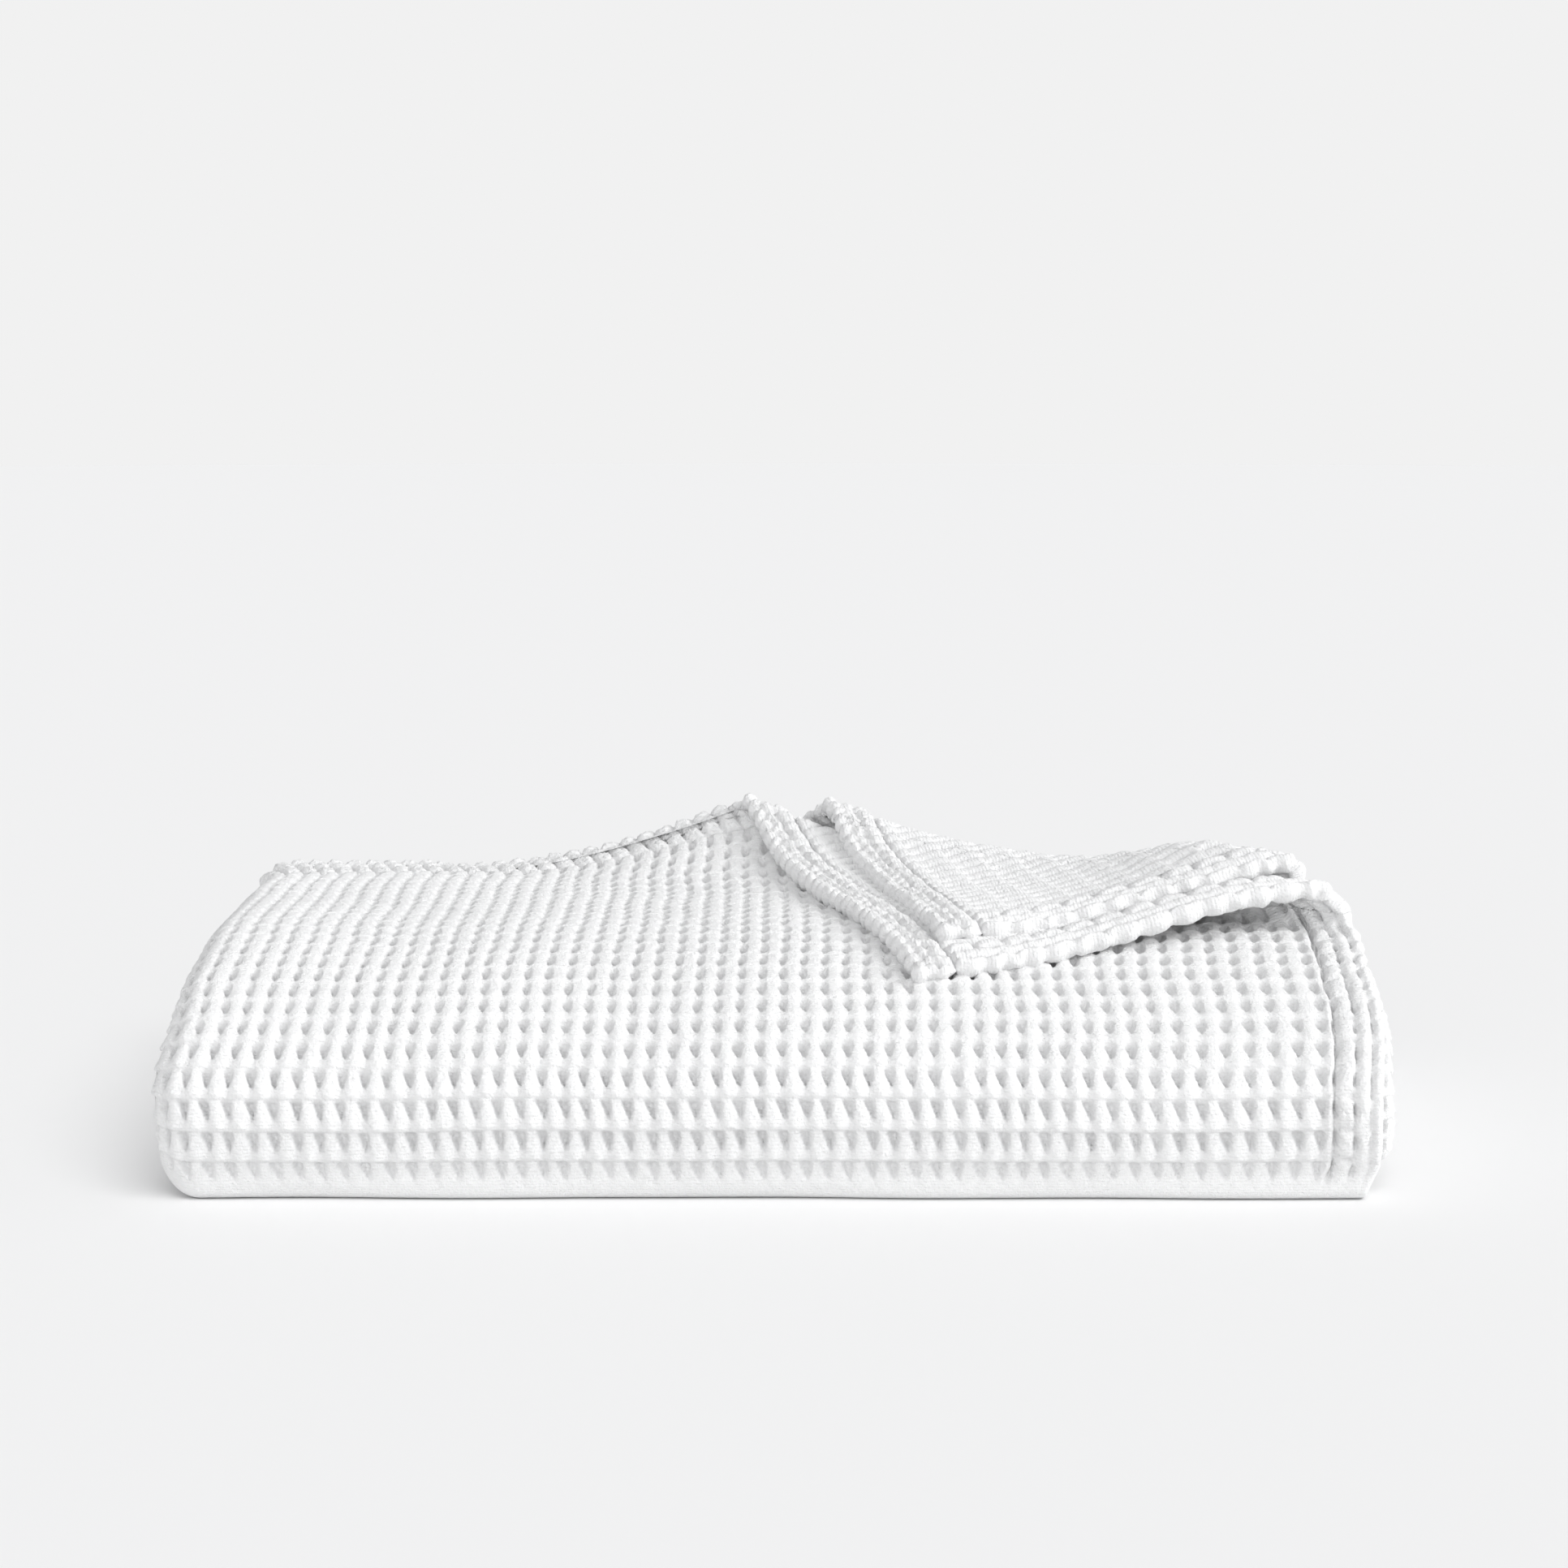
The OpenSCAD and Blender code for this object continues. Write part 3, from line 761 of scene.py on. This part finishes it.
def bend_inside(ob):
    """Bakes the piece's transform into its mesh; the height it works out at the hinge is not used."""
    upper = sweep(np.zeros(1), THIRD, np.array([S_HINGE]))[0, 0, 2]
    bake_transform(ob)


def calm_inside(s):
    """The weave's share in the front fold's lining: none at the split, little where it is pressed."""
    return 0.3 * smooth(s, S_SPLIT, S_SPLIT + 8 * MM) + 0.6 * smooth(s, S_HINGE - 16 * MM, S_HINGE)


def calm_at_split(s):
    """The weave's share in the bottom third, which fades where it meets the smooth front fold."""
    return 1 - smooth(s, S_SPLIT - 8 * MM, S_SPLIT)


def left_folds():
    """The lower half of the rounded left end, and the face that is turned inwards."""
    parts = [("arc", -HALF_W + HALF_T, HALF_T, HALF_T, -math.pi, -1.5 * math.pi),
             ("line", -HALF_W + HALF_T, THIRD, HALF_W - FOLD_R, THIRD)]
    first = -HALF_W + HALF_T - HALF_T * math.pi / 2
    p, xx, ss, inset = swept(parts, LOW_U, LOW_V, S_SPLIT, S_HINGE, first, calm_inside, 1, False)
    inside = cells(np.broadcast_to(inset > THIRD - 0.1 * MM, xx.shape))
    turn = skin("front_fold_left_turn", p, xx / MM, ss / MM, ~inside)
    bend_with_front(turn)
    dress(turn, WAFFLE)
    lining = skin("front_fold_lining", p, xx / MM, ss / MM, inside)
    for piece in (turn, lining):
        width, length, area = FLAT[piece.name]
        FLAT[piece.name] = width, length * SHORT_WAY, area * SHORT_WAY
    bend_inside(lining)
    dress(lining, WAFFLE)
    p, xx, ss, _ = swept(parts, LOW_U, LOW_V, S_HINGE, S_END - EDGE_R, first, 0.9, 1, False)
    top = skin("top_fold_lining", p, xx / MM, ss / MM)
    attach(top, "top_fold")
    dress(top, WAFFLE, "top_inner_panel")


def bottom_pieces():
    """The bottom third, the back fold and the middle third: one stretch of the strip."""
    parts = hemmed_face() + [("arc", -HALF_W + HALF_T, HALF_T, HALF_T, -math.pi / 2, -1.5 * math.pi),
                             ("line", -HALF_W + HALF_T, THIRD, -HALF_W + 30 * MM, THIRD)]
    x, inset, c = section(parts, LOW_U)
    start = int(np.argmax(inset < 1e-9))
    s_front = S_MID - (BACK_D - 36 * MM)
    p, xx, ss, _ = swept(parts, LOW_U, LOW_V, s_front, S_SPLIT, x[start] + c[start], calm_at_split)
    p[..., 2] = np.maximum(p[..., 2], 0.0)
    hem = (xx > HEM_LINE)[:-1, :-1]
    cloth = skin("bottom_and_middle_cloth", p, xx / MM, ss / MM, ~hem)
    side = skin("bottom_side_hem_cloth", p, xx / MM, ss / MM, hem)
    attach(cloth, "lower_stack")
    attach(side, "lower_stack")
    dress(cloth, WAFFLE, "bottom_outer_panel", "bottom_middle_panel", "middle_lower_panel",
          "middle_centre_panel", "middle_upper_panel", "back_fold_outer", "back_fold_middle")
    dress(side, HEMMED, "bottom_side_hem")
    fold = right_fold("bottom_right_fold", LOW_U, LOW_V, s_front, S_SPLIT)
    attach(fold, "lower_stack")
    dress(fold, WAFFLE, "bottom_inner_panel", "back_fold_inner")


def under_layer():
    """The top face of the third ply, which the turned corner leaves bare."""
    x = np.arange(HALF_W - FOLD_R, -75 * MM, -FINE_U)
    s = np.arange(s_at(80 * MM), S_END, FINE_V)
    p = sweep(x, 2 * PLY, s)
    xx, ss = np.meshgrid(x, s)
    h = relief(xx, ss, flatness(ss), 7, False, True)
    p = p + grid_normals(p) * h[..., None]
    bare = cells(turned(xx, ss, RIDGE_B, TABLE_B, 0, 0)[2] < 45 * MM)
    end = (ss > S_END - HEM_W)[:-1, :-1]
    ob = skin("third_ply_cloth", p, xx / MM, ss / MM, bare & ~end)
    hem = skin("third_ply_end_hem", p, xx / MM, ss / MM, bare & end)
    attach(ob, "top_fold")
    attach(hem, "top_fold")
    dress(ob, WAFFLE)
    dress(hem, HEMMED, "top_middle_end_hem", "top_inner_end_hem")
    return p, xx, ss


def ripple(along, often, seed):
    """The wave of a free edge, so often to a cell of the weave."""
    return np.cos(2 * math.pi * (along * often + 0.3 * noise(along * 0.8, 0 * along, seed)))


def corner_grid(ridge, tables, inset, pull, seed, x_to):
    """Both faces of a turned ply, from the flat part to its free corner."""
    x = np.arange(HEM_EDGE, x_to, -FINE_U)
    s = np.arange(S_END, S_CORNER - 2 * OVERLAP, -FINE_V)[::-1]
    xx, ss = np.meshgrid(x, s)
    edge_x, edge_s = HEM_EDGE - xx, S_END - ss
    wave_x = 0.8 * MM * ripple(ss / ROW, 1.3, seed + 60) * np.exp(-edge_x / (5 * MM))
    wave_s = 0.7 * MM * ripple(xx / COL, 1, seed + 61) * np.exp(-edge_s / (5 * MM))
    mid, _, q = turned(xx + wave_x, ss + wave_s, ridge, tables, inset + PLY / 2, pull)
    normal = grid_normals(mid)
    edge = np.minimum(edge_x, edge_s)
    taper = 0.08 + 0.92 * np.sqrt(1 - np.clip(1 - edge / EDGE_R, 0, 1) ** 2)
    out = relief(xx, ss, flatness(ss), seed)
    back = relief(xx + COL / 2, ss + ROW / 2, 0.85 + 0 * ss, seed + 5, False, False) * 0.8
    hem = np.maximum(smooth(xx, HEM_LINE - 1.6 * MM, HEM_LINE - 0.2 * MM),
                     smooth(ss, S_END - HEM_W - 1.6 * MM, S_END - HEM_W - 0.2 * MM))
    back = back * (1 - hem) + relief(xx, ss, 0.85 + 0 * ss, seed + 8) * hem
    puff = 0.9 * MM * hem * smooth(HILL_W * 0.3 - q, 0, 12 * MM)
    # the ends that lap over the cover's cloth sink into it
    sink = 0.5 * MM * np.maximum(1 - smooth(ss, S_CORNER - 2 * MM, S_CORNER + 0.6 * MM),
                                 smooth(q, HILL_W - 0.6 * MM, HILL_W + 2 * MM))
    top = mid + normal * ((PLY / 2 + out + puff) * taper - sink)[..., None]
    low = mid - normal * ((PLY / 2 + back + puff) * taper)[..., None]
    return top, low, xx, ss, q, mid


def corner_pieces(tag, grid, mask, hem_nodes):
    """Cuts one stretch of a turned ply into its cloth, side hem and end hem."""
    top, low, xx, ss = grid[:4]
    end = (ss > S_END - HEM_W)[:-1, :-1]
    side = (xx > HEM_LINE)[:-1, :-1] & ~end
    out = []
    for suffix, part, look in (("cloth", ~end & ~side, WAFFLE), ("side_hem", side, HEMMED),
                               ("end_hem", end, HEMMED)):
        if (mask & part).any():
            ob = slab(f"{tag}_{suffix}", top, low, xx / MM, ss / MM, mask & part)
            dress(ob, look, *hem_nodes.get(suffix, ()))
            out.append(ob)
    return out


# Distances from a ridge for the pairs of points that across() gives, which nothing uses; UP_FROM past the
# lower ridge is also where the upper flap's piece begins
BEND = 12 * MM
UP_FROM, UP_TO = 0.5 * MM, 24 * MM
BLEND_Z = 100 * MM


def across(ridge, n0, n1):
    """Two points across the middle of a ridge line at one height."""
    a, b = ridge.place(0.5, n0), ridge.place(0.5, n1)
    return (*a, BLEND_Z), (*b, BLEND_Z)


def turned_corner():
    """The two plies of the turned-back corner, each cut at its ridge."""
    low_grid = corner_grid(RIDGE_B, TABLE_B, 0, 2 * MM, 1, -150 * MM)
    ss, q = low_grid[3:5]
    lap = OVERLAP + 6 * MM * smooth(ss, S_END - HEM_W, S_END)
    near = cells((q < HILL_W + lap) & (ss > S_CORNER - OVERLAP))
    before = near & (q >= 0)[:-1, :-1]
    beyond = near & ~(q >= 0)[:-1, :-1]
    root = corner_pieces("lower_ridge", low_grid, before, {"cloth": ["corner_ridge_lower"]})
    flap = corner_pieces("lower_flap", low_grid, beyond, {
        "cloth": ["corner_lower_ply"], "side_hem": ["corner_lower_side_hem"],
        "end_hem": ["corner_lower_end_hem"]})
    for ob in root:
        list(across(RIDGE_B, BEND, -BEND))
        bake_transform(ob)
    for ob in flap:
        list(across(RIDGE_B, -BEND, BEND))
        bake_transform(ob)

    up_grid = corner_grid(RIDGE_A, TABLE_A, PLY, 12 * MM, 2, -130 * MM)
    _, _, xx, _, q, mid = up_grid
    near = cells((q < HILL_W + 26 * MM) | (xx > HEM_EDGE - 20 * MM))
    past_b = RIDGE_B.split(mid[..., 0], mid[..., 1])[1]
    turned_side = (q < 0)[:-1, :-1]
    over_line = (past_b > UP_FROM)[:-1, :-1]
    before = near & ~turned_side
    loop = near & turned_side & ~over_line
    free = near & turned_side & over_line
    root = corner_pieces("upper_ridge", up_grid, before, {"end_hem": ["top_under_end_hem"]})
    ring = corner_pieces("upper_loop", up_grid, loop, {"cloth": ["corner_ridge_upper"]})
    tip = corner_pieces("upper_flap", up_grid, free, {
        "cloth": ["corner_upper_ply"], "side_hem": ["corner_upper_side_hem"],
        "end_hem": ["corner_upper_end_hem"]})
    for ob in root:
        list(across(RIDGE_A, BEND, -BEND))
        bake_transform(ob)
    for ob in ring:
        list(across(RIDGE_A, -BEND, 8 * MM))
        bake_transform(ob)
    for ob in tip:
        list(across(RIDGE_B, UP_FROM, UP_TO))
        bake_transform(ob)
    return low_grid, up_grid


def spiral(r_out, from_x):
    """The mid line of a ply through the stack's section, from the top face round both ends."""
    r = HALF_T - r_out
    x = HALF_W - FOLD_R
    parts = [("line", from_x, r_out, -HALF_W + HALF_T, r_out),
             ("arc", -HALF_W + HALF_T, HALF_T, r, -math.pi / 2, -1.5 * math.pi),
             ("line", -HALF_W + HALF_T, THIRD - r_out, x, THIRD - r_out),
             ("arc", x, THIRD - FOLD_R, FOLD_R - r_out, math.pi / 2, -math.pi / 2),
             ("line", x, THIRD - 2 * FOLD_R + r_out, -HALF_W + HALF_T + MM, THIRD - 2 * FOLD_R + r_out)]
    return section(parts, FINE_U)


def thread_run(name, runs):
    """Stitches as short bowed lengths of thread. runs holds (start, end, up, radius)."""
    sides, rings = 7, 6
    verts, quads = [], []
    for start, end, up, r in runs:
        t = np.linspace(0, 1, rings)[:, None]
        line = start + (end - start) * t + up * (np.sin(t * math.pi) * 0.9 - 0.35) * r
        along = (end - start) / np.linalg.norm(end - start)
        cross = np.cross(along, up)
        a = np.linspace(0, 2 * math.pi, sides, endpoint=False)[None, :, None]
        thick = (r * np.sqrt(np.clip(1 - (2 * t - 1) ** 4, 0.02, 1)))[:, None, :]
        ring = line[:, None, :] + thick * (np.cos(a) * cross + np.sin(a) * up)
        base = len(verts) * sides * rings
        verts.append(ring.reshape(-1, 3))
        for k in range(rings - 1):
            for i in range(sides):
                j = (i + 1) % sides
                quads.append([base + k * sides + i, base + k * sides + j,
                              base + (k + 1) * sides + j, base + (k + 1) * sides + i])
    points = np.concatenate(verts)
    return mesh_object(name, points, np.array(quads), points / MM)


def runs_on(p, xx, ss, line, side=1.0):
    """Stitches that follow a list of flat places (x, s), on the grid face p."""
    n = grid_normals(p) * side
    out = []
    for stitch in line:
        ends = []
        for x, v in stitch:
            i = int(np.argmin(np.abs(xx[0] - x)))
            j = int(np.argmin(np.abs(ss[:, 0] - v)))
            ends.append((p[j, i], n[j, i]))
        out.append((ends[0][0], ends[1][0], (ends[0][1] + ends[1][1]) / 2, THREAD_R))
    return out


def along_side(s0, s1, step=ROW / 2, length=3.4 * MM):
    return [((HEM_LINE, v), (HEM_LINE, v + length)) for v in np.arange(s0, s1 - length, step)]


def along_end(x0, x1, step=COL / 1.5, length=3.2 * MM):
    line = S_END - HEM_W
    return [((v, line), (v - length, line)) for v in np.arange(x0, x1 + length, -step)]


def flap_stitches(name, grid, side_from, end_to):
    """The stitches of a flap's two hems, on the face that is turned up."""
    line = along_side(s_at(side_from), S_END - HEM_W) + along_end(HEM_LINE, end_to)
    return thread_run(name, runs_on(*grid[1:4], line, -1.0))


def stitches(outer, low_grid, up_grid, third):
    front = thread_run("side_hem_stitches", runs_on(*outer, along_side(14 * MM, S_CORNER)))
    bend_with_front(front)
    dress(front, SEWN, "front_hem_stitching", "top_hem_stitching")
    back = runs_on(*outer, along_end(-125 * MM, -HALF_W + HALF_T))
    back += runs_on(*third, along_end(HALF_W - 14 * MM, -10 * MM))
    top, _, xx, ss = low_grid[:4]
    back += runs_on(top, xx, ss, along_side(S_CORNER, s_at(88 * MM)))
    back += runs_on(top, xx, ss, along_end(-22 * MM, -120 * MM))
    back = thread_run("back_hem_stitches", back)
    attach(back, "top_fold")
    dress(back, SEWN)
    lower = flap_stitches("lower_flap_stitches", low_grid, 112 * MM, -2 * MM)
    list(across(RIDGE_B, -BEND, BEND))
    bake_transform(lower)
    dress(lower, SEWN, "corner_lower_stitching")
    upper = flap_stitches("upper_flap_stitches", up_grid, 122 * MM, 34 * MM)
    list(across(RIDGE_B, UP_FROM, UP_TO))
    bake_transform(upper)
    dress(upper, SEWN, "corner_upper_stitching")


def end_edges():
    """The rounded free edges of all six plies along the back."""
    for name, r_out, from_x in (("outer_ply_back_edge", PLY / 2, BACK_B_X),
                                ("inner_ply_back_edge", 1.5 * PLY, 16 * MM)):
        x, inset, c = spiral(r_out, from_x)
        tangent = np.stack([np.gradient(x), np.gradient(inset)], 1)
        tangent /= np.linalg.norm(tangent, axis=1, keepdims=True)
        phi = np.linspace(-math.pi / 2, math.pi / 2, 13)
        run = np.concatenate([[-9 * MM], EDGE_R * (np.cos(phi) - 1), [-9 * MM]])[:, None]
        side = np.concatenate([[-EDGE_R], EDGE_R * np.sin(phi), [EDGE_R]])[:, None]
        u = c / COL
        lump = 1 + 0.16 * np.cos(2 * math.pi * (u + 0.1 * noise(u * 0.6, u * 0, 3)))
        lump = lump + 0.1 * noise(u * 2.3, u * 0, 9)
        on_top = np.arange(len(x)) < np.argmax(x <= -HALF_W + HALF_T)
        lam, n = RIDGE_B.split(x, HALF_D + 0 * x)
        up = hill(lam, n) * on_top * (inset < 2 * PLY)
        bulge = side * lump
        d = HALF_D + run + (lump - 1) * 0.6 * EDGE_R * (run > -EDGE_R)
        if r_out < PLY:
            # the cover's own end is this ply's upper face: keep just under it
            bulge = np.where((inset < HALF_T) & (side < 0), 0.1 * bulge, bulge)
            d = d - 1.0 * MM * (inset < HALF_T)
        p = np.stack([x + tangent[:, 1] * bulge, d, STACK_H - (inset - tangent[:, 0] * bulge) + up], 2)
        cc, rr = np.meshgrid(c, run[::-1, 0])
        ob = skin(name, p[::-1], cc / MM, rr / MM)
        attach(ob, "top_fold")
        dress(ob, HEMMED)


outer = outer_pieces()
under_hem_edge()
right_folds()
left_folds()
bottom_pieces()
third = under_layer()
low_grid, up_grid = turned_corner()
end_edges()
stitches(outer, low_grid, up_grid, third)


# ---------------------------------------------------------------- stage, light and camera

# The photo's view: the lens, where the camera stands and how far it looks down
LENS = 80.54
CAMERA_AT = (4 * MM, -1.329, 0.293)
LOOKS_DOWN = 6.88
ROOM_R = 9
# Soft lights: name, the side it comes from, strength, angle in degrees, and what alone it lights
SUNS = (("key", (0.80, -0.20, 0.45), 2.35, 36, "throw"),
        ("left", (-0.80, -0.40, 0.30), 0.30, 70, "throw"),
        ("fill", (0.10, -0.60, 0.80), 0.25, 120, "throw"),
        ("front", (0.05, -1.0, 0.06), 1.04, 60, None),
        ("floor_key", (0.30, -0.55, 0.80), 1.63, 50, "floor"))


def camera():
    cam = bpy.data.cameras.new("camera")
    cam.lens, cam.sensor_width = LENS, 36
    cam.clip_start, cam.clip_end = 0.05, 50
    ob = bpy.data.objects.new("camera", cam)
    bpy.context.scene.collection.objects.link(ob)
    ob.location = CAMERA_AT
    ob.rotation_euler = (math.radians(90 - LOOKS_DOWN), 0, 0)
    bpy.context.scene.camera = ob


def paper():
    m, t = material("floor_paper")
    with_inputs(t.nodes["Principled BSDF"], Base_Color=(0.90, 0.90, 0.90, 1), Roughness=1,
                Specular_IOR_Level=0)
    return m


def glow():
    m, t = material("backdrop_paper")
    t.nodes.clear()
    light = with_inputs(t.nodes.new("ShaderNodeEmission"), Color=(0.88, 0.88, 0.88, 1))
    out = t.nodes.new("ShaderNodeOutputMaterial")
    t.links.new(light.outputs["Emission"], out.inputs["Surface"])
    return m


def stage():
    """A plain floor, and an even backdrop that only the camera sees."""
    bpy.ops.mesh.primitive_circle_add(vertices=96, radius=ROOM_R, fill_type="NGON", location=(0, 0, 0))
    floor = bpy.context.object
    floor.name = "floor"
    floor.data.materials.append(paper())
    bpy.ops.mesh.primitive_uv_sphere_add(segments=64, ring_count=32, radius=ROOM_R - 0.2)
    dome = bpy.context.object
    dome.name = "backdrop"
    dome.data.materials.append(glow())
    for ray in ("diffuse", "glossy", "transmission", "volume_scatter", "shadow"):
        setattr(dome, "visible_" + ray, False)


def sun(name, towards, strength, angle):
    light = bpy.data.lights.new(name, "SUN")
    light.energy, light.angle = strength, math.radians(angle)
    ob = bpy.data.objects.new(name, light)
    bpy.context.scene.collection.objects.link(ob)
    ob.rotation_mode = "QUATERNION"
    ob.rotation_quaternion = Vector(towards).to_track_quat("Z", "Y")
    return ob


def lights():
    lit = {"throw": bpy.data.collections.new("the_throw"), "floor": bpy.data.collections.new("the_floor")}
    for ob in bpy.context.scene.objects:
        if ob.type == "MESH" and ob.name != "backdrop":
            lit["floor" if ob.name == "floor" else "throw"].objects.link(ob)
    for name, towards, strength, angle, alone in SUNS:
        light = sun(name, towards, strength, angle)
        if alone:
            light.light_linking.receiver_collection = lit[alone]
    world = bpy.data.worlds.new("room")
    bpy.context.scene.world = world
    world.use_nodes = True
    with_inputs(world.node_tree.nodes["Background"], Color=(0.52, 0.522, 0.527, 1), Strength=1)
    bpy.context.scene.view_settings.view_transform = "Standard"


def declare_sheets():
    """Works out the flat size that each stretch of the throw is cut from; the sizes are not stored or passed
    on.
    """
    for ob in list(bpy.context.scene.objects):
        if ob.name not in FLAT or "edge" in ob.name:
            continue
        w, l, area = np.array(FLAT[ob.name]) * (CUT, CUT, CUT * CUT)
        if ob.name.endswith("_hem") and ob.name != "under_side_hem":
            w, l = (w, l * TURNED) if "end_hem" in ob.name else (w * TURNED, l)
            area *= TURNED
        area = min(area, w * l)
        if area < SLANTED * w * l:
            w = max(area / SLANTED / l, NARROWEST)


camera()
stage()
lights()
declare_sheets()
